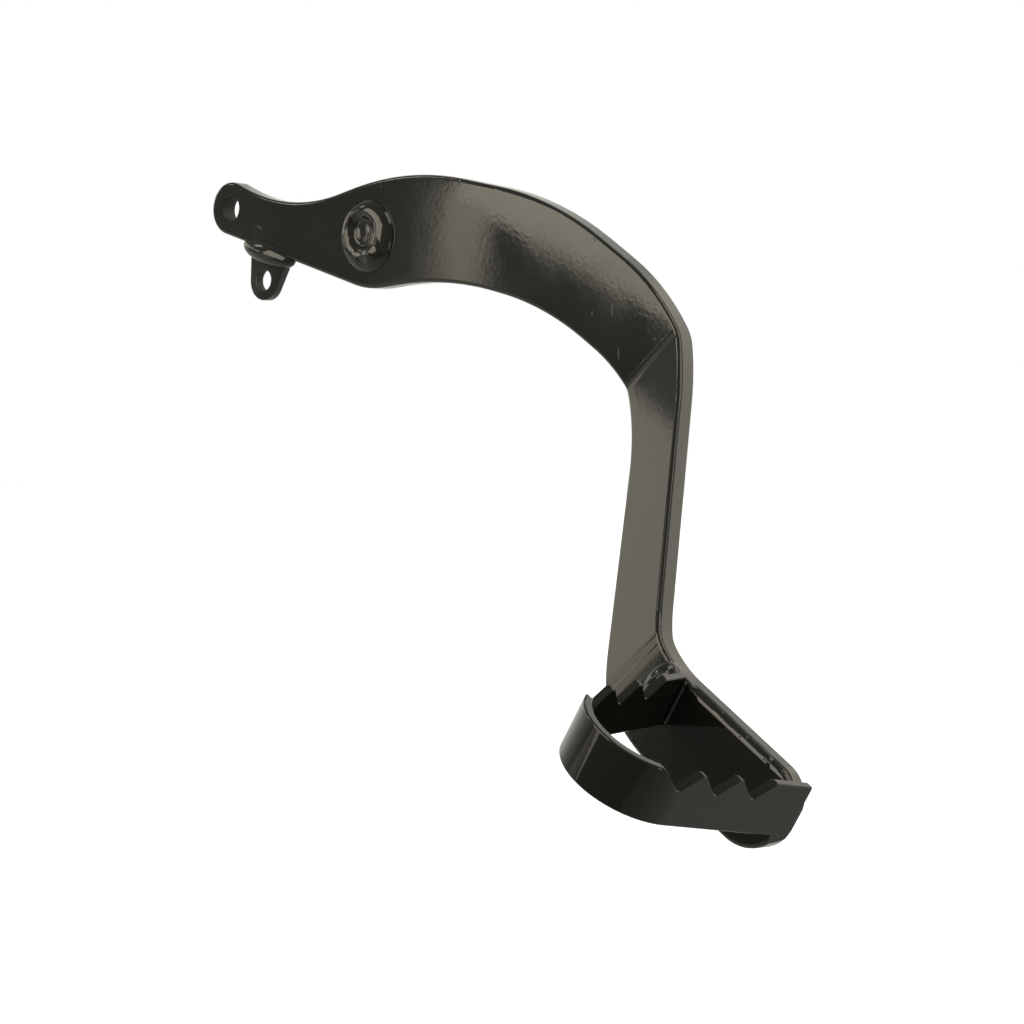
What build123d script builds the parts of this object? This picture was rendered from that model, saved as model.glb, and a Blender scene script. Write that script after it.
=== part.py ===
"""Rear brake pedal of a light motorcycle: a punched and folded plate arm with a welded serrated strap tread.

Frame, in millimetres: the pivot axis is Y, X runs forward to the tread, Z is up. The origin is on the pivot
axis at the inboard face of the arm, so the arm's outboard face lies at Y = -plate_t and the pin runs to +Y.
"""
import os
from math import cos, radians, sin, tan

from build123d import *

os.makedirs("parts", exist_ok=True)

# Plate of the arm
plate_t = 6.0
edge_round = 1.2
edge_bevel = 0.6

# Pivot pin and its ring weld
pin_d = 12.0
spigot_d = 10.0
pin_reach = 46.0
pin_proud = 0.8
pin_chamfer = 1.0
groove_w = 1.1
groove_depth = 0.25
groove_back = 5.0
ring_weld_d = 23.2
ring_weld_h = 2.8
ring_bulge = 0.6
ring_crown_d = 14.4
ring_crater_d = 8.8
ring_crater_h = 1.5

# Push rod eye at the rear end, measured from the pivot axis
eye_back = 62.3
eye_drop = 26.0
eye_d = 8.2
eye_wall = 4.5
eye_shift = 0.7
eye_edge = 0.4
neck_slope = 16.0
neck_top_slope = 9.0

# Upper edge of the arm: slope of each straight run, and how far its line passes above the pivot axis
rise_slope = 45.0
rise_over = 17.0
back_slope = 21.5
back_over = 23.9
crest_over = 50.2
lower_top_slope = -43.1
lower_top_over = 122.8

# Lower edge of the arm, in the same way
belly_slope = 37.5
belly_over = -16.8
inner_slope = 19.5
inner_over = -5.8
arch_over = 21.4
lower_under_slope = -45.3
lower_under_over = 105.2

# Radii at the corners of the outline
neck_r = 75.0
shoulder_r = 120.0
crest_r = 125.0
elbow_r = 72.0
heel_r = 33.0
nose_top_r = 10.0
nose_under_r = 15.5
sole_r = 48.0
armpit_r = 60.0
arch_r = 112.0
inner_r = 134.0
belly_r = 35.0

# Jog: the lower arm leaves the upper arm's plane at the crease and comes back parallel at the fold
crease_x = 124.3
crease_z = 31.2
crease_slope = 71.9
jog_angle = 23.2
jog_out = 36.1
bend_r = 10.0

# Tongue that carries the tread, and the tread's U strap
tongue_top = -19.2
tongue_h = 27.8
strap_h = 16.8
strap_proud = 1.2
strap_t = 2.6
strap_edge = 0.4
pad_front = 263.0
pad_length = 53.3
front_lean = 12.5
rear_lean = 7.2
end_r = 20.4
end_lap = 2.4
end_corner_r = 3.0
nose_short = 0.5

# Saw teeth along both legs of the strap
tooth_count = 3
tooth_pitch = 12.2
tooth_depth = 6.1
tooth_gentle = 5.6
tooth_tip = 0.7
tooth_root_r = 0.8
land = 9.3

# Welds of the strap
rear_weld_on_tongue = 7.5
rear_weld_on_leg = 12.0
rear_weld_hollow = 0.8
inner_weld = 2.0
front_weld = 3.2
front_weld_short = 5.5

# Return spring tab under the neck
tab_t = 3.0
tab_hole_d = 6.8
tab_wall = 3.2
tab_ahead = 25.9
tab_drop = 11.8
tab_top_back = 9.6
tab_top_front = 9.2
tab_weld_r = 2.7
tab_weld_over = 4.0

# A length past the whole part, for cutting tools
far = 2.0 * pad_front

# Places that follow from the sizes above
outer_y = -plate_t
tongue_y = outer_y - jog_out
eye_r = eye_d / 2 + eye_wall
eye = Vector(-eye_back, -eye_drop)
strap_top = tongue_top + strap_proud
strap_under = strap_top - strap_h
pad_rear = pad_front - pad_length


def normal(slope):
    """Upward normal, in (x, z), of a run with this slope."""
    return Vector(-sin(radians(slope)), cos(radians(slope)))


def meet(run_a, run_b):
    """Corner where two runs meet; a run is its slope and how far its line passes above the pivot axis."""
    n_a = normal(run_a[0])
    n_b = normal(run_b[0])
    det = n_a.X * n_b.Y - n_a.Y * n_b.X
    x = (run_a[1] * n_b.Y - n_a.Y * run_b[1]) / det
    z = (n_a.X * run_b[1] - run_a[1] * n_b.X) / det
    return Vector(x, z)


def corner_radii(path, radii):
    """The wanted radius at each corner of a path, made smaller where two rounds would not fit on a run."""
    turns = [(b - a).get_angle(c - b) for a, b, c in zip(path, path[1:], path[2:])]
    used = [0, *[r * tan(radians(turn / 2)) for r, turn in zip(radii, turns)], 0]
    fits = [min(1, 0.98 * (b - a).length / (m + n)) for a, b, m, n in zip(path, path[1:], used, used[1:])]
    return [r * min(m, n) for r, m, n in zip(radii, fits, fits[1:])]


def rim(faces, side):
    """Outer edges of the sheet's faces on the inboard (1) or outboard (-1) side."""
    sheet = [f for f in faces if f.normal_at(f.center()).Y * side > 0.8]
    edges = ShapeList([e for f in sheet for e in f.edges()])
    return edges.filter_by(lambda e: len([f for f in sheet if e in f.edges()]) == 1)


# Outline of the arm seen from outboard, from the top of the eye clockwise round to its underside
neck_n = normal(neck_slope)
neck_along = Vector(cos(radians(neck_slope)), sin(radians(neck_slope)))
neck_top_n = normal(neck_top_slope)
eye_end = eye - neck_along * eye_shift
neck_top = (neck_top_slope, eye_end.dot(neck_top_n) + eye_r)
neck_under = (neck_slope, eye_end.dot(neck_n) - eye_r)
nose_run = (-90.0, pad_front - nose_short)
runs = [
    neck_top,
    (rise_slope, rise_over),
    (back_slope, back_over),
    (0.0, crest_over),
    (lower_top_slope, lower_top_over),
    (0.0, tongue_top),
    nose_run,
    (0.0, tongue_top - tongue_h),
    (lower_under_slope, lower_under_over),
    (0.0, arch_over),
    (inner_slope, inner_over),
    (belly_slope, belly_over),
    neck_under,
]
outline = [eye_end + neck_top_n * eye_r]
outline += [meet(run_a, run_b) for run_a, run_b in zip(runs, runs[1:])]
outline += [eye_end - neck_n * eye_r]
outline_r = corner_radii(
    outline,
    [neck_r, shoulder_r, crest_r, elbow_r, heel_r, nose_top_r,
     nose_under_r, sole_r, armpit_r, arch_r, inner_r, belly_r],
)
eye_tip = eye_end - neck_along * eye_r

# The plane across the crease: local x runs down the arm, local y inboard, and its normal along the crease
along_crease = Vector(cos(radians(crease_slope)), 0, sin(radians(crease_slope)))
across_crease = Vector(along_crease.Z, 0, -along_crease.X)
crease_plane = Plane((crease_x, 0, crease_z), x_dir=across_crease, z_dir=along_crease)
jog_run = jog_out / tan(radians(jog_angle))

# The strap's front leg leans; the tongue's nose is cut to the plane of the leg's inner face
front_in = Vector(-cos(radians(front_lean)), sin(radians(front_lean)))
leg_inner = Vector(pad_front, tongue_y) + front_in * strap_t
nose_plane = Plane((leg_inner.X, leg_inner.Y, 0), x_dir=(0, 0, 1), z_dir=(-front_in.X, -front_in.Y, 0))

# Lever arm: the outline's prism inside the jogged sheet, with rounded edges, two holes and a trimmed nose
bend_shift = plate_t * tan(radians(jog_angle / 2))
with BuildPart() as lever_arm:
    with BuildSketch(Plane.XZ):
        with BuildLine():
            FilletPolyline(*outline, radius=outline_r)
            ThreePointArc(outline[-1], eye_tip, outline[0])
        make_face()
    extrude(amount=far, both=True)
    with BuildSketch(crease_plane):
        with BuildLine():
            outboard = FilletPolyline(
                (-far, outer_y),
                (0, outer_y),
                (jog_run, tongue_y),
                (far, tongue_y),
                radius=[bend_r, bend_r + plate_t],
            )
            inboard = FilletPolyline(
                (-far, 0),
                (bend_shift, 0),
                (jog_run + bend_shift, -jog_out),
                (far, -jog_out),
                radius=[bend_r + plate_t, bend_r],
            )
            Line(outboard @ 0, inboard @ 0)
            Line(outboard @ 1, inboard @ 1)
        make_face()
    extrude(amount=far, both=True, mode=Mode.INTERSECT)
    chamfer(rim(lever_arm.faces(), 1), edge_bevel)
    fillet(rim(lever_arm.faces(), -1), edge_round)
    with Locations(Plane((0, outer_y, 0), z_dir=(0, -1, 0))):
        Hole(spigot_d / 2)
    with Locations(Plane((eye.X, outer_y, eye.Y), z_dir=(0, -1, 0))):
        Hole(eye_d / 2)
    round_edges = lever_arm.edges().filter_by(GeomType.CIRCLE)
    chamfer(round_edges.filter_by(lambda e: abs(e.radius - eye_d / 2) < 0.01), eye_edge)
    split(bisect_by=nose_plane, keep=Keep.BOTTOM)
lever_arm.part.label = "lever_arm"
export_step(lever_arm.part, "parts/lever_arm.step")

# Tread strap: a flat bar bent into a U, its front leg lapping the nose and its rear leg on the tongue
strap_depth = pad_length / (tan(radians(front_lean)) + tan(radians(rear_lean)))
apex = (pad_rear + strap_depth * tan(radians(rear_lean)), tongue_y - strap_depth)
spare = plate_t
front_start = (pad_front + spare * tan(radians(front_lean)), tongue_y + spare)
rear_start = (pad_rear - spare * tan(radians(rear_lean)), tongue_y + spare)
tooth_steep = tooth_pitch - tooth_gentle - tooth_tip
with BuildPart() as pad_strap:
    with BuildSketch(Plane.XY.offset(strap_under)):
        with BuildLine():
            strap_line = FilletPolyline(front_start, apex, rear_start, radius=end_r)
            offset(strap_line, amount=strap_t, side=Side.RIGHT)
        make_face()
    extrude(amount=strap_h)
    flat_faces = pad_strap.faces().filter_by(Axis.Z)
    chamfer(flat_faces.edges().filter_by(lambda e: e.center().Y < tongue_y + spare / 2), strap_edge)
    with Locations((pad_rear + strap_t, tongue_y, strap_under)):
        Box(pad_length, far, 3 * strap_h, align=(Align.CENTER, Align.MIN, Align.CENTER), mode=Mode.SUBTRACT)
    with Locations((pad_front, tongue_y + end_lap, strap_under)):
        Box(pad_length, far, 3 * strap_h, align=(Align.CENTER, Align.MIN, Align.CENTER), mode=Mode.SUBTRACT)
    for tooth in range(tooth_count):
        notch_in = tongue_y - land - tooth * tooth_pitch
        notch_floor = notch_in - tooth_steep
        with BuildSketch(Plane.YZ):
            with BuildLine():
                notch = FilletPolyline(
                    (notch_floor + 2 * tooth_steep, strap_top + tooth_depth),
                    (notch_floor, strap_top - tooth_depth),
                    (notch_floor - 2 * tooth_gentle, strap_top + tooth_depth),
                    radius=tooth_root_r,
                )
                Line(notch @ 0, notch @ 1)
            make_face()
        extrude(amount=far, mode=Mode.SUBTRACT)
    with BuildSketch(Plane.YZ.offset(pad_front - pad_length / 2)):
        with Locations((tongue_y + end_lap, strap_under)):
            Rectangle(end_corner_r, end_corner_r, align=(Align.MAX, Align.MIN))
        with Locations((tongue_y + end_lap - end_corner_r, strap_under + end_corner_r)):
            Circle(end_corner_r, mode=Mode.SUBTRACT)
    extrude(amount=far, mode=Mode.SUBTRACT)
pad_strap.part.label = "pad_strap"
export_step(pad_strap.part, "parts/pad_strap.step")

# Pivot pin: a shoulder against the arm, a spigot through it and just proud, a clip groove at the far end
groove_end = pin_reach - groove_back
pin_end = outer_y - pin_proud
with BuildPart() as pivot_pin:
    with BuildSketch(Plane.XY):
        with BuildLine():
            Polyline(
                (0, pin_end),
                (spigot_d / 2, pin_end),
                (spigot_d / 2, 0),
                (pin_d / 2, 0),
                (pin_d / 2, groove_end - groove_w),
                (pin_d / 2 - groove_depth, groove_end - groove_w),
                (pin_d / 2 - groove_depth, groove_end),
                (pin_d / 2, groove_end),
                (pin_d / 2, pin_reach - pin_chamfer),
                (pin_d / 2 - pin_chamfer, pin_reach),
                (0, pin_reach),
                close=True,
            )
        make_face()
    revolve(axis=Axis.Y)
pivot_pin.part.label = "pivot_pin"
export_step(pivot_pin.part, "parts/pivot_pin.step")

# Ring weld: a bead round the spigot's end, run over its rim, with a crater in the middle
ring_foot = Vector(ring_weld_d / 2, outer_y)
ring_crown = Vector(ring_crown_d / 2, outer_y - ring_weld_h)
ring_flank = (ring_foot + ring_crown) / 2
ring_out = (ring_crown - ring_foot).normalized().rotate(Axis.Z, 90)
with BuildPart() as pivot_weld:
    with BuildSketch(Plane.XY):
        with BuildLine():
            Polyline(
                (ring_crater_d / 2, outer_y - ring_crater_h),
                (ring_crater_d / 2, pin_end),
                (spigot_d / 2, pin_end),
                (spigot_d / 2, outer_y),
                ring_foot,
                ring_flank + ring_out * ring_bulge,
                ring_crown,
                close=True,
            )
        make_face()
    revolve(axis=Axis.Y)
pivot_weld.part.label = "pivot_weld"
export_step(pivot_weld.part, "parts/pivot_weld.step")

# Spring tab: a small plate standing on the straight underside of the neck, in the middle of the plate's edge
mid_y = outer_y / 2
tab_hole = eye + Vector(tab_ahead, -tab_drop)
tab_foot = eye_end - neck_n * eye_r + neck_along * (tab_hole - eye_end).dot(neck_along)
tab_back = tab_foot - neck_along * tab_top_back
tab_front = tab_foot + neck_along * tab_top_front
with BuildPart() as spring_tab:
    with BuildSketch(Plane.XZ.offset(-mid_y)):
        with BuildLine():
            CenterArc((tab_hole.X, tab_hole.Y), tab_hole_d / 2 + tab_wall, 0, 360)
            Line((tab_back.X, tab_back.Y), (tab_front.X, tab_front.Y))
        make_hull()
        with Locations((tab_hole.X, tab_hole.Y)):
            Circle(tab_hole_d / 2, mode=Mode.SUBTRACT)
    extrude(amount=tab_t / 2, both=True)
spring_tab.part.label = "spring_tab"
export_step(spring_tab.part, "parts/spring_tab.step")

# Weld of the tab: one bead round its foot, along the neck's underside
bead_back = tab_back - neck_along * tab_weld_over
bead_front = tab_front + neck_along * tab_weld_over
bead_plane = Plane((bead_back.X, mid_y, bead_back.Y), x_dir=(0, 1, 0), z_dir=(neck_along.X, 0, neck_along.Y))
neck_plane = Plane((bead_back.X, mid_y, bead_back.Y), x_dir=(0, 1, 0), z_dir=(neck_n.X, 0, neck_n.Y))
with BuildPart() as tab_weld:
    with BuildSketch(bead_plane):
        Circle(tab_weld_r)
    extrude(amount=(bead_front - bead_back).length)
    bead_ends = tab_weld.faces().filter_by(GeomType.PLANE)
    chamfer(bead_ends.edges(), tab_weld_r / 2)
    split(bisect_by=neck_plane, keep=Keep.BOTTOM)
    add(spring_tab.part, mode=Mode.SUBTRACT)
tab_weld.part.label = "tab_weld"
export_step(tab_weld.part, "parts/tab_weld.step")


def corner_weld(corner, along_a, along_b, hollow):
    """Plan of a weld in a corner, from one face to the other, run a little into both."""
    start = corner + along_a
    stop = corner + along_b
    inward = (corner - (start + stop) / 2).normalized()
    belly = (start + stop) / 2 + inward * hollow
    bury = inward * strap_t / 2
    with BuildSketch() as plan:
        with BuildLine():
            ThreePointArc(start, belly, stop)
            Polyline(stop, stop + bury, corner + bury, start + bury, start)
        make_face()
    return plan.sketch


# Welds of the strap, each cut back to the faces it joins
tongue_back = Vector(-1, 0)
rear_down = Vector(sin(radians(rear_lean)), -cos(radians(rear_lean)))
front_down = Vector(-sin(radians(front_lean)), -cos(radians(front_lean)))
rear_corner = Vector(pad_rear, tongue_y)
rear_on_tongue = tongue_back * rear_weld_on_tongue
rear_on_leg = rear_down * rear_weld_on_leg
rear_inner = Vector(pad_rear + strap_t / cos(radians(rear_lean)), tongue_y)
front_inner = Vector(pad_front - strap_t / cos(radians(front_lean)), tongue_y)
with BuildPart() as rear_leg_weld:
    with BuildSketch(Plane.XY.offset(strap_under)):
        add(corner_weld(rear_corner, rear_on_tongue, rear_on_leg, rear_weld_hollow))
    extrude(amount=strap_h)
    add(lever_arm.part, mode=Mode.SUBTRACT)
    add(pad_strap.part, mode=Mode.SUBTRACT)
rear_leg_weld.part.label = "rear_leg_weld"
export_step(rear_leg_weld.part, "parts/rear_leg_weld.step")

with BuildPart() as rear_inner_weld:
    with BuildSketch(Plane.XY.offset(strap_under)):
        add(corner_weld(rear_inner, -tongue_back * inner_weld, rear_down * inner_weld, inner_weld / 8))
    extrude(amount=strap_h)
    add(lever_arm.part, mode=Mode.SUBTRACT)
    add(pad_strap.part, mode=Mode.SUBTRACT)
rear_inner_weld.part.label = "rear_inner_weld"
export_step(rear_inner_weld.part, "parts/rear_inner_weld.step")

with BuildPart() as front_leg_weld:
    with BuildSketch(Plane.XY.offset(strap_under)):
        add(corner_weld(front_inner, tongue_back * front_weld, front_down * front_weld, front_weld / 8))
    extrude(amount=strap_h - front_weld_short)
    add(lever_arm.part, mode=Mode.SUBTRACT)
    add(pad_strap.part, mode=Mode.SUBTRACT)
front_leg_weld.part.label = "front_leg_weld"
export_step(front_leg_weld.part, "parts/front_leg_weld.step")
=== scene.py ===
# %% [markdown]
# # A welded brake pedal in gloss black paint
# The pedal is a folded plate arm, a welded tread strap, a pivot pin and a small spring tab. Its shape comes
# from a CAD model, so this lesson adds what the CAD solids leave out: the rounded welds, the glossy paint
# with its dust and scratches, the turned steel of the pin, and a small white studio. Lengths are in metres,
# as Blender counts them, and a value in millimetres is multiplied by MM.

# %% Load the pedal
import bpy
import math
from mathutils import Matrix, Vector


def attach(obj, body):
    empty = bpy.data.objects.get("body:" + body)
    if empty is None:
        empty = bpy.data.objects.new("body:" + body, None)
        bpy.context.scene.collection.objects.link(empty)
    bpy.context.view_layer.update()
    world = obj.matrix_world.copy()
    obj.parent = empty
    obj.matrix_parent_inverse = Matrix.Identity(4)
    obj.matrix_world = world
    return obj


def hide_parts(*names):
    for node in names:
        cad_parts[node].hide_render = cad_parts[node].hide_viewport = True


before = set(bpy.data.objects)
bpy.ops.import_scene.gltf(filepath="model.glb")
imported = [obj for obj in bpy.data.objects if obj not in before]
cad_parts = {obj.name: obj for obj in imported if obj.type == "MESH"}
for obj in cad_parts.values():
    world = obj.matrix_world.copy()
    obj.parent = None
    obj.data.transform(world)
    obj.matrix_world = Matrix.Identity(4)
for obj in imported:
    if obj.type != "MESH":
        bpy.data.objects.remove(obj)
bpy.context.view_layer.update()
MM = 0.001
scene = bpy.context.scene
scene.view_settings.view_transform = "Standard"
print("nodes:", sorted(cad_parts))

# %% [markdown]
# ## Small helpers
# Most steps need the same few moves: drop the old selection, write an object's place into its mesh, select
# points by where they lie, and apply a modifier. They could be written out each time, but with a short
# function for each the later cells read like the work itself.

# %% Helpers for objects
def metres(point):
    """A place or a size in millimetres, in metres."""
    return [v * MM for v in point]


def start_clean():
    """Object mode with nothing selected, so an operator only reaches what comes next."""
    if bpy.context.object and bpy.context.object.mode != "OBJECT":
        bpy.ops.object.mode_set(mode="OBJECT")
    bpy.ops.object.select_all(action="DESELECT")


def fix_place():
    """Write the new object's place, turn and scale into its mesh, and hand the object on."""
    bpy.ops.object.transform_apply(location=True, rotation=True, scale=True)
    return bpy.context.object


def apply_modifier(piece, kind, **settings):
    """Add a modifier with these settings and apply it at once."""
    modifier = piece.modifiers.new(kind.title(), kind)
    for key, value in settings.items():
        setattr(modifier, key, value)
    bpy.context.view_layer.objects.active = piece
    bpy.ops.object.modifier_apply(modifier=modifier.name)


# %% Helpers for edit mode
def edit_all():
    """Edit mode with the whole mesh selected."""
    bpy.ops.object.mode_set(mode="EDIT")
    bpy.ops.mesh.select_all(action="SELECT")


def pick_points(piece, test):
    """Select the points of a piece for which the test on their place holds, and go back to edit mode."""
    bpy.ops.object.mode_set(mode="OBJECT")
    for part in (piece.data.vertices, piece.data.edges, piece.data.polygons):
        for item in part:
            item.select = False
    for point in piece.data.vertices:
        point.select = test(point.co)
    bpy.ops.object.mode_set(mode="EDIT")
    bpy.ops.mesh.select_mode(type="VERT")


def face_outward():
    """Make all faces of the mesh point outwards."""
    bpy.ops.mesh.select_all(action="SELECT")
    bpy.ops.mesh.normals_make_consistent(inside=False)


# %% [markdown]
# ## Gloss black paint
# The whole pedal but its pin is dipped in gloss black paint. Black paint shows almost only reflections, so
# its surface matters more than its colour: a fine orange peel breaks the edges of the reflections, a slow
# swell bends them, and dust under the paint makes small pimples. A picture of paint could be wrapped round
# the pedal, but a pattern on Object coordinates has no seams and stays sharp from near. It is counted in
# waves per metre, so a scale of 500 means waves of about two millimetres.

# %% Helpers for nodes
def add_node(tree, kind, **values):
    """A node of this kind with its properties and inputs set."""
    node = tree.nodes.new(kind)
    for key, value in values.items():
        if hasattr(node, key):
            setattr(node, key, value)
        else:
            node.inputs[key.replace("_", " ")].default_value = value
    return node


def new_finish(name):
    """An empty node material with a shader, its output and Object coordinates."""
    finish = bpy.data.materials.new(name)
    finish.use_nodes = True
    tree = finish.node_tree
    tree.nodes.clear()
    shader = add_node(tree, "ShaderNodeBsdfPrincipled")
    output = add_node(tree, "ShaderNodeOutputMaterial")
    tree.links.new(shader.outputs["BSDF"], output.inputs["Surface"])
    place = add_node(tree, "ShaderNodeTexCoord").outputs["Object"]
    return finish, tree, shader, place


# %% Helpers for patterns
def noise(tree, place, scale, detail=2.0):
    """Noise of this many waves per metre, as a value around one half."""
    node = add_node(tree, "ShaderNodeTexNoise", Scale=scale, Detail=detail)
    tree.links.new(place, node.inputs["Vector"])
    return node.outputs["Fac"]


def spread(tree, value, low, high, to_low=0.0, to_high=1.0):
    """Map a value from one range to another, held at both ends."""
    node = add_node(tree, "ShaderNodeMapRange", From_Min=low, From_Max=high, To_Min=to_low, To_Max=to_high)
    tree.links.new(value, node.inputs["Value"])
    return node.outputs["Result"]


def specks(tree, place, scale, size):
    """Small round specks, one for each cell of a Voronoi pattern: 1 in their middle, 0 outside."""
    node = add_node(tree, "ShaderNodeTexVoronoi", Scale=scale)
    tree.links.new(place, node.inputs["Vector"])
    return spread(tree, node.outputs["Distance"], 0.0, size, 1.0, 0.0)


def raise_by(tree, height, depth, normal=None):
    """A bump of this depth, in metres, on top of an earlier bump."""
    node = add_node(tree, "ShaderNodeBump", Distance=depth, Strength=1.0)
    tree.links.new(height, node.inputs["Height"])
    if normal:
        tree.links.new(normal, node.inputs["Normal"])
    return node.outputs["Normal"]


def tint(tree, value, dark, light):
    """A colour between two, by a value from 0 to 1."""
    node = add_node(tree, "ShaderNodeMix", data_type="RGBA")
    node.inputs["A"].default_value = (*dark, 1.0)
    node.inputs["B"].default_value = (*light, 1.0)
    tree.links.new(value, node.inputs["Factor"])
    return node.outputs["Result"]


# %% The paint's surface
PEEL_WAVES = 620.0
PEEL_DEPTH = 0.005 * MM
SWELL_WAVES = 70.0
SWELL_DEPTH = 0.012 * MM
DUST_CELLS = 95.0
DUST_SIZE = 0.035
DUST_HEIGHT = 0.03 * MM
black_paint, tree, shader, place = new_finish("gloss_black_paint")
peel = raise_by(tree, noise(tree, place, PEEL_WAVES, detail=3.0), PEEL_DEPTH)
swell = raise_by(tree, noise(tree, place, SWELL_WAVES, detail=1.0), SWELL_DEPTH, peel)
dust = raise_by(tree, specks(tree, place, DUST_CELLS, DUST_SIZE), DUST_HEIGHT, swell)
print("nodes of the paint's surface:", len(tree.nodes))

# %% The paint's colour and roughness
CLOUD_WAVES = 45.0
DEEP_BLACK = (0.0085, 0.0088, 0.0070)
THIN_BLACK = (0.0130, 0.0133, 0.0108)
NOISE_RANGE = (0.3, 0.7)
PAINT_ROUGHNESS = (0.04, 0.08)
cloud = noise(tree, place, CLOUD_WAVES, detail=4.0)
tree.links.new(tint(tree, cloud, DEEP_BLACK, THIN_BLACK), shader.inputs["Base Color"])
roughness = spread(tree, cloud, *NOISE_RANGE, *PAINT_ROUGHNESS)
print("nodes of the paint so far:", len(tree.nodes))

# %% [markdown]
# ## Scratches and rubbed bores
# The paint of the arm's outboard face has fine scratches and chips, and the walls of the eye and of the
# tab's hole are rubbed dull. Grooves could be cut for the scratches, but they are finer than the mesh, and
# on black paint such a mark only shows because it is rough. So the roughness rises near a line between two
# points, broken up by noise, and near the wall of each bore, found by its distance from the bore's axis.

# %% Helpers for marks along a line
def near_line(tree, place, start, end, width, core=0.5):
    """1 near a line between two points in mm, 0 past its width; core is the share of the width that is 1."""
    start = Vector(start) * MM
    end = Vector(end) * MM
    length = (end - start).length
    ahead = (end - start) / length
    offset = add_node(tree, "ShaderNodeVectorMath", operation="SUBTRACT")
    tree.links.new(place, offset.inputs[0])
    offset.inputs[1].default_value = start
    along = add_node(tree, "ShaderNodeVectorMath", operation="DOT_PRODUCT")
    tree.links.new(offset.outputs["Vector"], along.inputs[0])
    along.inputs[1].default_value = ahead
    held = spread(tree, along.outputs["Value"], 0.0, length, 0.0, length)
    foot = add_node(tree, "ShaderNodeVectorMath", operation="SCALE")
    foot.inputs[0].default_value = ahead
    tree.links.new(held, foot.inputs["Scale"])
    apart = add_node(tree, "ShaderNodeVectorMath", operation="DISTANCE")
    tree.links.new(offset.outputs["Vector"], apart.inputs[0])
    tree.links.new(foot.outputs["Vector"], apart.inputs[1])
    return spread(tree, apart.outputs["Value"], core * width * MM, width * MM, 1.0, 0.0)


def combine(tree, operation, first, second):
    """Two values multiplied, or the larger of them."""
    node = add_node(tree, "ShaderNodeMath", operation=operation)
    tree.links.new(first, node.inputs[0])
    tree.links.new(second, node.inputs[1])
    return node.outputs["Value"]


# %% Scratches: x and z of both ends on the face, and the width, in mm
FACE_Y = -6.0
BREAK_WAVES = 380.0
BREAK_RANGE = (0.40, 0.58)
SCRATCH_ROUGHNESS = 0.26
scratches = [((99.6, 39.9), (104.0, 33.2), 0.35), ((109.1, 30.1), (113.0, 24.3), 0.3),
             ((-48.9, -24.1), (-45.2, -23.6), 0.45), ((65.2, 19.6), (66.4, 18.6), 0.3),
             ((66.4, 39.6), (67.4, 38.2), 0.35), ((84.2, 49.6), (85.6, 48.4), 0.5),
             ((121.6, 37.0), (121.8, 36.8), 0.3), ((94.8, 26.8), (95.0, 26.6), 0.35)]
broken = spread(tree, noise(tree, place, BREAK_WAVES), *BREAK_RANGE, 0.0, SCRATCH_ROUGHNESS)
for (start_x, start_z), (end_x, end_z), width in scratches:
    mark = near_line(tree, place, (start_x, FACE_Y, start_z), (end_x, FACE_Y, end_z), width)
    roughness = combine(tree, "MAXIMUM", roughness, combine(tree, "MULTIPLY", mark, broken))
print("scratches and chips:", len(scratches))

# %% Rubbed bores: x and z of the axis, y of its ends, and the radius, in mm
RUB_REACH = 0.25
RUB_CORE = 0.97
RUBBED_ROUGHNESS = 0.6
bores = [((-62.3, -26.0), (-5.6, -0.4), 4.1), ((-36.4, -37.8), (-4.4, -1.6), 3.4)]
for (x, z), (outboard, inboard), radius in bores:
    wall = near_line(tree, place, (x, outboard, z), (x, inboard, z), radius + RUB_REACH, RUB_CORE)
    roughness = combine(tree, "MAXIMUM", roughness, spread(tree, wall, 0.0, 1.0, 0.0, RUBBED_ROUGHNESS))
tree.links.new(roughness, shader.inputs["Roughness"])
print("rubbed bores:", len(bores))

# %% [markdown]
# ## Light band along the tongue
# Along its top edge the tongue's face leans back a little, as a sheared plate does, and the paint there
# mirrors a lighter part of the room in a band of uneven width. The lean could be cut into the arm, but it
# is shallow, and the arm keeps its CAD mesh. So a bump lowers the surface towards the line of that edge,
# more in some places than in others.

# %% The tongue's band
TONGUE_EDGE = ((216.5, -42.1, -19.0), (257.0, -42.1, -19.0))
BAND_WIDTH = 2.3
BAND_CORE = 0.1
BAND_DEPTH = 0.8 * MM
BAND_WAVES = 170.0
BAND_RANGE = (0.35, 0.65)
LEAST_LEAN = 0.7
MOST_LEAN = 1.25
edge = near_line(tree, place, *TONGUE_EDGE, BAND_WIDTH, BAND_CORE)
uneven = spread(tree, noise(tree, place, BAND_WAVES), *BAND_RANGE, LEAST_LEAN, MOST_LEAN)
slope = spread(tree, combine(tree, "MULTIPLY", edge, uneven), 0.0, MOST_LEAN, MOST_LEAN, 0.0)
tree.links.new(raise_by(tree, slope, BAND_DEPTH, dust), shader.inputs["Normal"])
print("nodes of the whole paint:", len(tree.nodes))

# %% [markdown]
# ## Turned steel of the pin
# The pin's bearing length is bare steel from a lathe, and its turning marks are fine rings round the axis.
# They could be cut into the mesh, but it would need thousands of rings. So the noise is squeezed along the
# axis and stretched across it. The rings change the roughness and the height a little, and a slow stain
# stands for oil and handling.

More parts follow.
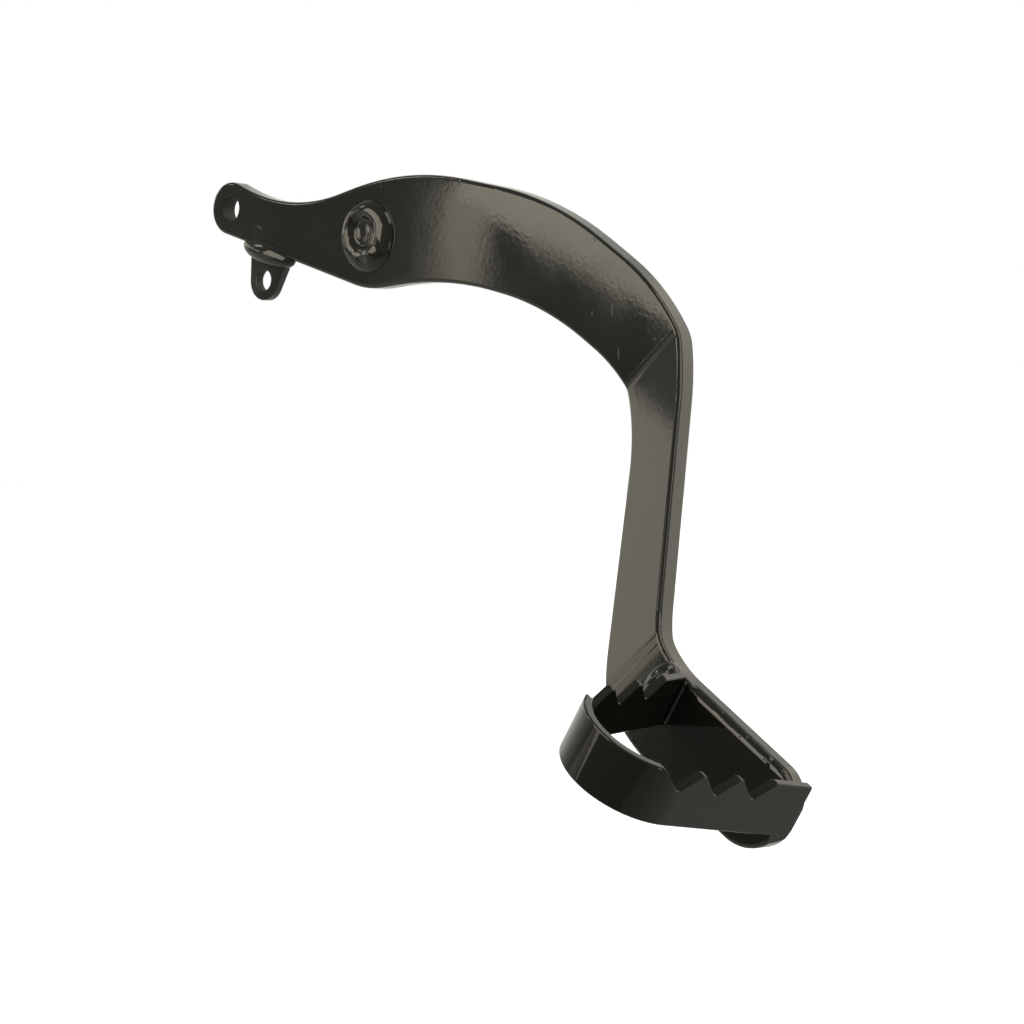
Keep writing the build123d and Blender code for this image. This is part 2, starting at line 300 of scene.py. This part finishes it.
# %% The pin's steel
TURNING_WAVES = (8.0, 2600.0, 8.0)
TURNING_DEPTH = 0.012 * MM
STAIN_WAVES = 120.0
STEEL_ROUGHNESS = (0.24, 0.38)
STAINED_STEEL = (0.40, 0.39, 0.37)
CLEAN_STEEL = (0.58, 0.57, 0.55)
bare_steel, tree, shader, place = new_finish("turned_steel")
squeezed = add_node(tree, "ShaderNodeMapping", Scale=TURNING_WAVES)
tree.links.new(place, squeezed.inputs["Vector"])
rings = noise(tree, squeezed.outputs["Vector"], 1.0, detail=3.0)
stain = noise(tree, place, STAIN_WAVES, detail=4.0)
tree.links.new(raise_by(tree, rings, TURNING_DEPTH), shader.inputs["Normal"])
tree.links.new(spread(tree, rings, *NOISE_RANGE, *STEEL_ROUGHNESS), shader.inputs["Roughness"])
tree.links.new(tint(tree, stain, STAINED_STEEL, CLEAN_STEEL), shader.inputs["Base Color"])
shader.inputs["Metallic"].default_value = 1.0
print("nodes of the steel:", len(tree.nodes))

# %% [markdown]
# ## Finishes on the CAD solids
# The arm and the pin are finished as the CAD model has them. They could be copied like the pieces below,
# but their edges are round or bevelled already, so they keep their meshes and only change their finish.

# %% Paint the solids
for name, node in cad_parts.items():
    finish = bare_steel if name == "pivot_pin" else black_paint
    node.data.materials.clear()
    node.data.materials.append(finish)
print("finished", len(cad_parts), "nodes")

# %% [markdown]
# ## Ring weld round the pin's end
# The pin is held by a ring of weld on the arm's outboard face, with an off-centre crater in its middle.
# Weld metal freezes in faint ripples, and where the run ends it leaves a lump beside a hollow. A section
# could be spun, but the ring would be too even. So a circle on the face is extruded ring by ring along the
# bead's section and shifted on the way, three spokes of every eight are raised a little for the ripples,
# and the end of the run is pulled up with proportional editing, as clay would be. Subdivision rounds it.

# %% Seat a finished piece
def seat(piece, name, node):
    """Name a finished piece, paint it, and let it ride on the pedal in place of a CAD node."""
    piece.name = name
    piece.data.name = name
    piece.data.materials.clear()
    piece.data.materials.append(black_paint)
    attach(piece, "root")
    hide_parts(node)
    print(name, "has", len(piece.data.polygons), "faces")


# %% The ring bead, ring by ring: radius and height over the face, in mm
SPOKES = 96
RING_FOOT = 11.6
RING_SUNK = 0.2
CRATER_SHIFT = (-1.3, 0.0, 0.5)
SHIFT_REACH = 6.0
ring_section = [(11.5, 0.30), (11.2, 0.90), (10.6, 1.60), (9.8, 2.25), (8.8, 2.75), (7.7, 3.00), (6.7, 2.95),
                (5.8, 2.60), (5.1, 2.05), (4.6, 1.55), (4.2, 1.25), (3.6, 1.15), (2.4, 1.20), (1.2, 1.25)]
start_clean()
bpy.ops.mesh.primitive_circle_add(vertices=SPOKES, radius=RING_FOOT * MM,
                                  location=metres((0, FACE_Y + RING_SUNK, 0)), rotation=(math.pi / 2, 0, 0))
ring_bead = fix_place()
edit_all()
radius, height, shifted = RING_FOOT, -RING_SUNK, 0.0
for next_radius, next_height in ring_section:
    bpy.ops.mesh.extrude_edges_move(TRANSFORM_OT_translate={"value": (0, (height - next_height) * MM, 0)})
    bpy.ops.transform.resize(value=(next_radius / radius, 1, next_radius / radius))
    share = min(1.0, (RING_FOOT - next_radius) / SHIFT_REACH)
    bpy.ops.transform.translate(value=metres((share - shifted) * v for v in CRATER_SHIFT))
    radius, height, shifted = next_radius, next_height, share
bpy.ops.mesh.edge_face_add()
face_outward()
print("ring bead:", len(ring_section), "rings of", SPOKES, "points")

# %% Ripples
RIPPLE_FROM = 5.5
RIPPLE_TO = 10.8
RIPPLE_HEIGHT = 0.02
RIPPLE_LAG = 2.0
RIPPLE_PITCH = 8
RIPPLE_SPOKES = 3


def on_ripple(co):
    """Whether a point of the ring lies on a ripple; the ripples lag behind towards the middle."""
    out = math.hypot(co.x, co.z) / MM
    spoke = round(math.degrees(math.atan2(co.z, co.x)) / (360 / SPOKES))
    lag = round((RING_FOOT - out) / RIPPLE_LAG)
    return RIPPLE_FROM < out < RIPPLE_TO and (spoke + lag) % RIPPLE_PITCH < RIPPLE_SPOKES


pick_points(ring_bead, on_ripple)
bpy.ops.transform.translate(value=(0, -RIPPLE_HEIGHT * MM, 0))
print("ripples on", SPOKES // RIPPLE_PITCH, "places of the ring")

# %% The end of the run: angle, distance from the middle, rise and reach of each lump, in degrees and mm
GRIP = 0.9
MELT = 0.5
lumps = [(-28, 6.6, 0.55, 3.2), (-58, 7.4, -0.35, 3.0), (35, 8.4, 0.25, 5.0), (120, 8.0, 0.2, 5.0),
         (205, 8.2, -0.25, 5.0)]
for angle, out, rise, reach in lumps:
    spot = Vector((math.cos(math.radians(angle)), 0, math.sin(math.radians(angle)))) * out * MM
    pick_points(ring_bead, lambda co: math.hypot(co.x - spot.x, co.z - spot.z) < GRIP * MM)
    bpy.ops.transform.translate(value=(0, -rise * MM, 0), use_proportional_edit=True,
                                proportional_edit_falloff="SMOOTH", proportional_size=reach * MM)
bpy.ops.object.mode_set(mode="OBJECT")
apply_modifier(ring_bead, "SUBSURF", levels=2, render_levels=2)
apply_modifier(ring_bead, "SMOOTH", factor=MELT, iterations=6)
bpy.ops.object.shade_smooth()
seat(ring_bead, "ring_weld_bead", "pivot_weld")

# %% [markdown]
# ## Welds of the tab and the tread
# A short weld is a puddle of steel, or a few of them, each laid on the edge of the last. Its section could
# be extruded, but its ends would be too plain. So flattened spheres are added, joined, and fused by a voxel
# remesh, and many passes of smoothing round off the waist between two puddles, as the molten metal does.

# %% One weld: middle, half sizes and turn about the pivot axis of each puddle, in mm and degrees
WELD_GRAIN = 0.3


def weld_run(name, node, puddles, passes):
    """Fuse puddles into one bead and smooth it in this many passes."""
    drops = []
    for middle, half, turn in puddles:
        start_clean()
        bpy.ops.mesh.primitive_uv_sphere_add(segments=24, ring_count=16, radius=MM, location=metres(middle))
        drop = bpy.context.object
        drop.scale = half
        drop.rotation_euler = (0, math.radians(turn), 0)
        drops.append(fix_place())
    start_clean()
    for drop in drops:
        drop.select_set(True)
    bpy.context.view_layer.objects.active = drops[0]
    bpy.ops.object.join()
    bead = bpy.context.object
    apply_modifier(bead, "REMESH", mode="VOXEL", voxel_size=WELD_GRAIN * MM)
    apply_modifier(bead, "SMOOTH", factor=MELT, iterations=passes)
    bpy.ops.object.shade_smooth()
    seat(bead, name, node)


# %% The three welds
tab_puddles = [((-38.9, -4.4, -29.0), (12.8, 4.3, 4.2), -16)]
rear_puddles = [((208.0, -44.6, -24.6), (4.7, 5.4, 8.2), 0), ((210.0, -48.8, -26.2), (3.0, 6.2, 7.8), 0)]
front_puddles = [((259.6, -43.2, z), (2.6, 2.8, 2.4), 0) for z in (-33.0, -30.2, -27.6, -25.4)]
weld_run("tab_weld_bead", "tab_weld", tab_puddles, passes=60)
weld_run("rear_weld_bead", "rear_leg_weld", rear_puddles, passes=40)
weld_run("front_weld_bead", "front_leg_weld", front_puddles, passes=12)

# %% [markdown]
# ## Paint that gathers in a corner
# A dipped part drains into its corners, and the paint sets there as a thin roll. It fills the tread's inner
# corner, over the small weld. A plain cylinder would be too even, so a circle is extruded upwards step by
# step, made wider or thinner at each, closed at both ends and subdivided.

# %% The roll in the tread's inner corner
ROLL_FOOT = (213.1, -42.6, -33.6)
ROLL_STEP = 2.4
ROLL_RADIUS = 0.7
ROLL_SWELL = 0.15
radii = [ROLL_RADIUS + ROLL_SWELL * wider for wider in (-1, 0, 1, 0, -1, 1, 0)]
start_clean()
bpy.ops.mesh.primitive_circle_add(vertices=20, radius=radii[0] * MM, location=metres(ROLL_FOOT))
corner_roll = fix_place()
edit_all()
for radius, next_radius in zip(radii, radii[1:]):
    bpy.ops.mesh.extrude_edges_move(TRANSFORM_OT_translate={"value": (0, 0, ROLL_STEP * MM)})
    bpy.ops.transform.resize(value=(next_radius / radius, next_radius / radius, 1))
bpy.ops.mesh.edge_face_add()
bpy.ops.mesh.select_all(action="DESELECT")
bpy.ops.mesh.select_non_manifold()
bpy.ops.mesh.edge_face_add()
face_outward()
bpy.ops.object.mode_set(mode="OBJECT")
apply_modifier(corner_roll, "SUBSURF", levels=2, render_levels=2)
bpy.ops.object.shade_smooth()
seat(corner_roll, "corner_paint_roll", "rear_inner_weld")

# %% [markdown]
# ## Softened edges of the strap and the tab
# Paint never keeps a sharp edge: it draws back from it and leaves a small round, which shows as a thin
# light line along the teeth. In the CAD model the teeth and the tab's rim are sharp. A bump can't round an
# outline, so each mesh is copied, its flat triangles are merged into whole faces, and a bevel rounds every
# sharp edge.

# %% Round the edges of a copy
MERGE_REACH = 0.003 * MM
FLAT_ANGLE = math.radians(1.0)
SHARP_ANGLE = math.radians(28)


def soften(name, width):
    """A copy of a CAD node with its sharp edges rounded by this width in mm."""
    start_clean()
    piece = bpy.data.objects.new(name + "_painted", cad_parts[name].data.copy())
    scene.collection.objects.link(piece)
    piece.select_set(True)
    bpy.context.view_layer.objects.active = piece
    edit_all()
    bpy.ops.mesh.remove_doubles(threshold=MERGE_REACH)
    bpy.ops.mesh.dissolve_limited(angle_limit=FLAT_ANGLE)
    bpy.ops.object.mode_set(mode="OBJECT")
    apply_modifier(piece, "BEVEL", width=width * MM, segments=3, limit_method="ANGLE",
                   angle_limit=SHARP_ANGLE, use_clamp_overlap=False)
    bpy.ops.object.shade_smooth()
    apply_modifier(piece, "WEIGHTED_NORMAL")
    seat(piece, name + "_painted", name)


soften("pad_strap", 0.2)
soften("spring_tab", 0.35)

# %% [markdown]
# ## White studio
# The photograph has a plain white ground, so the world is white to the camera. Paint and steel see that
# white too, behind the pedal, where the ground is, and low at its side, where the ground goes on. On the
# camera's side a studio is dim, and black paint shows it. White walls could be built instead, but they
# would light the paint from every side, so the world tells the rays apart and looks at the way they go.

# %% Where the world is ground, by the way a ray goes
BEHIND = (0.0, 0.5)
BESIDE = (-0.5, 0.2)
LOW = (-0.40, -0.32)
world = bpy.data.worlds.new("white_studio")
scene.world = world
world.use_nodes = True
tree = world.node_tree
tree.nodes.clear()
way = add_node(tree, "ShaderNodeSeparateXYZ")
tree.links.new(add_node(tree, "ShaderNodeTexCoord").outputs["Generated"], way.inputs["Vector"])
behind = spread(tree, way.outputs["Y"], *BEHIND)
low_beside = combine(tree, "MULTIPLY", spread(tree, way.outputs["Y"], *BESIDE),
                     spread(tree, way.outputs["Z"], *LOW, 1.0, 0.0))
on_ground = combine(tree, "MAXIMUM", behind, low_beside)
print("nodes for the ground's place:", len(tree.nodes))

# %% What the camera, the paint and the rest see
WHITE = (1.0, 1.0, 1.0, 1.0)
WARM_WHITE = (1.0, 0.97, 0.88, 1.0)
ROOM_COLOUR = (1.0, 0.98, 0.93, 1.0)
ROOM_RISE = (-0.45, -0.30)
ROOM_STRENGTH = (0.10, 0.28)


def mirror_ray(tree, ray):
    """1 for a ray that a mirror or glass has sent on, 0 for others."""
    return combine(tree, "MAXIMUM", ray.outputs["Is Glossy Ray"], ray.outputs["Is Transmission Ray"])


def choose(tree, share, first, second):
    """The first light, or the second one by a share from 0 to 1."""
    node = add_node(tree, "ShaderNodeMixShader")
    tree.links.new(share, node.inputs["Fac"])
    tree.links.new(first, node.inputs[1])
    tree.links.new(second, node.inputs[2])
    return node.outputs["Shader"]


room = add_node(tree, "ShaderNodeBackground", Color=ROOM_COLOUR)
tree.links.new(spread(tree, way.outputs["Z"], *ROOM_RISE, *ROOM_STRENGTH), room.inputs["Strength"])
warm = add_node(tree, "ShaderNodeBackground", Color=WARM_WHITE, Strength=1.0)
ground = add_node(tree, "ShaderNodeBackground", Color=WHITE, Strength=1.0)
ray = add_node(tree, "ShaderNodeLightPath")
reflected = choose(tree, combine(tree, "MULTIPLY", mirror_ray(tree, ray), on_ground),
                   room.outputs["Background"], warm.outputs["Background"])
seen = choose(tree, ray.outputs["Is Camera Ray"], reflected, ground.outputs["Background"])
tree.links.new(seen, add_node(tree, "ShaderNodeOutputWorld").inputs["Surface"])
print("nodes of the whole world:", len(tree.nodes))

# %% [markdown]
# ## Floor
# A white card lies well below the pedal, so its shadow is wide and faint. More light could make it white,
# but that light would reach the pedal too. So the card glows to the camera, and less in reflections, and
# the rest of its light is real, which keeps the shadow. Its colour is painted shade, darker towards the
# camera's side, and its glow in reflections is a painted reflection that grows towards its far side.

# %% The floor card
FLOOR_MIDDLE = (0.65, 0.5, -0.55)
FLOOR_SIZE = 2.7
start_clean()
bpy.ops.mesh.primitive_grid_add(x_subdivisions=8, y_subdivisions=8, size=FLOOR_SIZE, location=FLOOR_MIDDLE)
floor = fix_place()
floor.name = "studio_floor"
print("floor card:", [round(v, 2) for v in floor.dimensions])

# %% The card's finish
CARD_RANGE = (-1.1, 0.8)
NEAR_CARD_PAINTED_SHADE = (0.30, 0.30, 0.29)
FAR_CARD_PAINTED_LIGHT = (0.80, 0.80, 0.79)
CAMERA_GLOW = 0.9
MIRROR_GLOW = 0.35
card, tree, shader, place = new_finish("white_card")
shader.inputs["Roughness"].default_value = 0.9
shader.inputs["Specular IOR Level"].default_value = 0.1
split = add_node(tree, "ShaderNodeSeparateXYZ")
tree.links.new(place, split.inputs["Vector"])
# Painted shade: the card's colour is darker towards the camera's side and lighter far behind the pedal.
far = spread(tree, split.outputs["Y"], *CARD_RANGE)
tree.links.new(tint(tree, far, NEAR_CARD_PAINTED_SHADE, FAR_CARD_PAINTED_LIGHT), shader.inputs["Base Color"])
ray = add_node(tree, "ShaderNodeLightPath")
shown = spread(tree, ray.outputs["Is Camera Ray"], 0.0, 1.0, 0.0, CAMERA_GLOW)
# Painted reflection: the card's glow in reflections rises towards its far side.
mirrored = combine(tree, "MULTIPLY", mirror_ray(tree, ray), spread(tree, far, 0.0, 1.0, 0.0, MIRROR_GLOW))
glow = combine(tree, "MAXIMUM", shown, mirrored)
shader.inputs["Emission Color"].default_value = WHITE
tree.links.new(glow, shader.inputs["Emission Strength"])
floor.data.materials.append(card)
print("nodes of the card:", len(tree.nodes))

# %% [markdown]
# ## Camera
# The camera looks at the pedal from its outboard side, a little from the front and from above, with a long
# lens and the same roll as in the photograph. It could be aimed by a constraint, but that would leave out
# the roll. So its place and angles, which were fitted to the pedal's outline, give its three axes.

# %% The camera
LENS = 121.7
SENSOR = 36.0
CAMERA_PLACE = (0.7141, -0.7568, 0.3654)
AZIMUTH = math.radians(39.21)
ELEVATION = math.radians(22.56)
ROLL = math.radians(25.59)


def placed(middle, right, above, back):
    """The matrix of an object with its middle here and its three axes along these directions."""
    return Matrix.Translation(middle) @ Matrix((right, above, back)).transposed().to_4x4()


camera_data = bpy.data.cameras.new("photo_camera")
camera_data.lens = LENS
camera_data.sensor_width = SENSOR
camera_data.clip_start = 0.01
camera = bpy.data.objects.new("photo_camera", camera_data)
scene.collection.objects.link(camera)
back = Vector((math.cos(ELEVATION) * math.sin(AZIMUTH), -math.cos(ELEVATION) * math.cos(AZIMUTH),
               math.sin(ELEVATION)))
level = Vector((0, 0, 1)).cross(back).normalized()
tall = back.cross(level)
right = level * math.cos(ROLL) + tall * math.sin(ROLL)
above = tall * math.cos(ROLL) - level * math.sin(ROLL)
camera.matrix_world = placed(CAMERA_PLACE, right, above, back)
scene.camera = camera
print("camera at", tuple(round(v, 3) for v in camera.location))

# %% [markdown]
# ## Soft boxes
# Gloss paint draws the lamps as shapes, so their places come from the reflections in the photograph. The
# front box lies in the upper arm's face, tilted, and its flap fills out one corner. The rear box lies in
# the lower arm. The top box lies in the edges, and smaller boxes fill the bends between the flat faces. One
# picture wrapped round the world could light it all, but each lamp can be moved by itself. The brightness
# of a box is its radiance, where 1 is white paper. Its cloth is darker towards its rim, by the feather,
# because a reflection's edge is sharp in one face and soft in another.

# %% One soft box
LAMP_COLOUR = (1.0, 0.94, 0.76)
HALF_WAY = 0.5


def rim_fade(tree, across, feather):
    """1 in the middle of a box and 0 on its rim, for a place across it from 0 to 1."""
    inward = add_node(tree, "ShaderNodeMath", operation="PINGPONG")
    inward.inputs[1].default_value = HALF_WAY
    tree.links.new(across, inward.inputs[0])
    return spread(tree, inward.outputs["Value"], 0.0, min(feather, HALF_WAY))


def soft_box(name, middle, across, upward, wide, tall, radiance, feather):
    """A soft box with its middle here, its width along across and its height along upward."""
    lamp = bpy.data.lights.new(name, "AREA")
    lamp.shape = "RECTANGLE"
    lamp.size = wide
    lamp.size_y = tall
    lamp.energy = radiance * math.pi * wide * tall
    lamp.color = LAMP_COLOUR
    lamp.use_nodes = True
    tree = lamp.node_tree
    cloth = add_node(tree, "ShaderNodeSeparateXYZ")
    tree.links.new(add_node(tree, "ShaderNodeNewGeometry").outputs["Parametric"], cloth.inputs["Vector"])
    fade = combine(tree, "MULTIPLY", rim_fade(tree, cloth.outputs["X"], feather / wide),
                   rim_fade(tree, cloth.outputs["Y"], feather / tall))
    tree.links.new(fade, tree.nodes["Emission"].inputs["Strength"])
    box = bpy.data.objects.new(name, lamp)
    scene.collection.objects.link(box)
    side = Vector(across).normalized()
    rise = (Vector(upward) - side * side.dot(Vector(upward))).normalized()
    box.matrix_world = placed(middle, side, rise, side.cross(rise))
    print(name, "shines along", tuple(round(v, 2) for v in -side.cross(rise)))


# %% The boxes of the two flat faces
AHEAD, ASIDE, UP = (1, 0, 0), (0, -1, 0), (0, 0, 1)
FRONT_Y = -1.0
REAR_X = -1.2
FRONT_WIDE = 0.92
FRONT_TALL = 0.8
FRONT_TILT = math.radians(8.0)
front_corner = Vector((-0.885, FRONT_Y, -0.415))
lean = Vector((math.cos(FRONT_TILT), 0.0, math.sin(FRONT_TILT)))
stand = Vector((-math.sin(FRONT_TILT), 0.0, math.cos(FRONT_TILT)))
front_middle = front_corner + lean * (FRONT_WIDE / 2) + stand * (FRONT_TALL / 2)
soft_box("front_box", front_middle, lean, stand,
         wide=FRONT_WIDE, tall=FRONT_TALL, radiance=3.5, feather=0.003)
soft_box("front_flap", (-0.857, FRONT_Y, -0.442), (0.87, 0, 0.5), (-0.5, 0, 0.87),
         wide=0.056, tall=0.095, radiance=2.4, feather=0.006)
soft_box("rear_box", (REAR_X, -0.26, -0.451), (0, -1, -0.1), UP,
         wide=0.74, tall=0.356, radiance=1.25, feather=0.012)

# %% The boxes that fill the bends
soft_box("crease_box", (REAR_X, -1.035, -0.38), ASIDE, UP,
         wide=0.90, tall=0.20, radiance=0.45, feather=0.05)
soft_box("heel_box", (REAR_X, -0.8385, -0.58), ASIDE, UP,
         wide=0.453, tall=0.24, radiance=1.45, feather=0.012)
soft_box("far_heel_box", (-2.285, -2.0, -1.215), AHEAD, UP,
         wide=0.49, tall=0.17, radiance=2.1, feather=0.02)
soft_box("fold_box", (-0.774, FRONT_Y, -0.56), AHEAD, UP,
         wide=0.262, tall=0.14, radiance=1.7, feather=0.012)
soft_box("tongue_box", (-0.5695, FRONT_Y, -0.56), AHEAD, UP,
         wide=0.171, tall=0.14, radiance=1.45, feather=0.012)

# %% The boxes at the sides and above
soft_box("side_box", (REAR_X, -0.62, 0.15), ASIDE, UP,
         wide=0.24, tall=0.40, radiance=4.0, feather=0.03)
soft_box("right_strip", (1.15, -0.45, 0.05), (0, 1, 0), UP,
         wide=0.14, tall=0.50, radiance=5.0, feather=0.03)
soft_box("top_box", (0.30, 0.95, 0.85), (-1, 0, 0), (0, -0.7, 0.7),
         wide=2.1, tall=1.1, radiance=1.3, feather=0.45)
soft_box("overhead_box", (0.1, -0.1, 1.3), AHEAD, (0, 1, 0),
         wide=0.9, tall=0.9, radiance=2.5, feather=0.1)
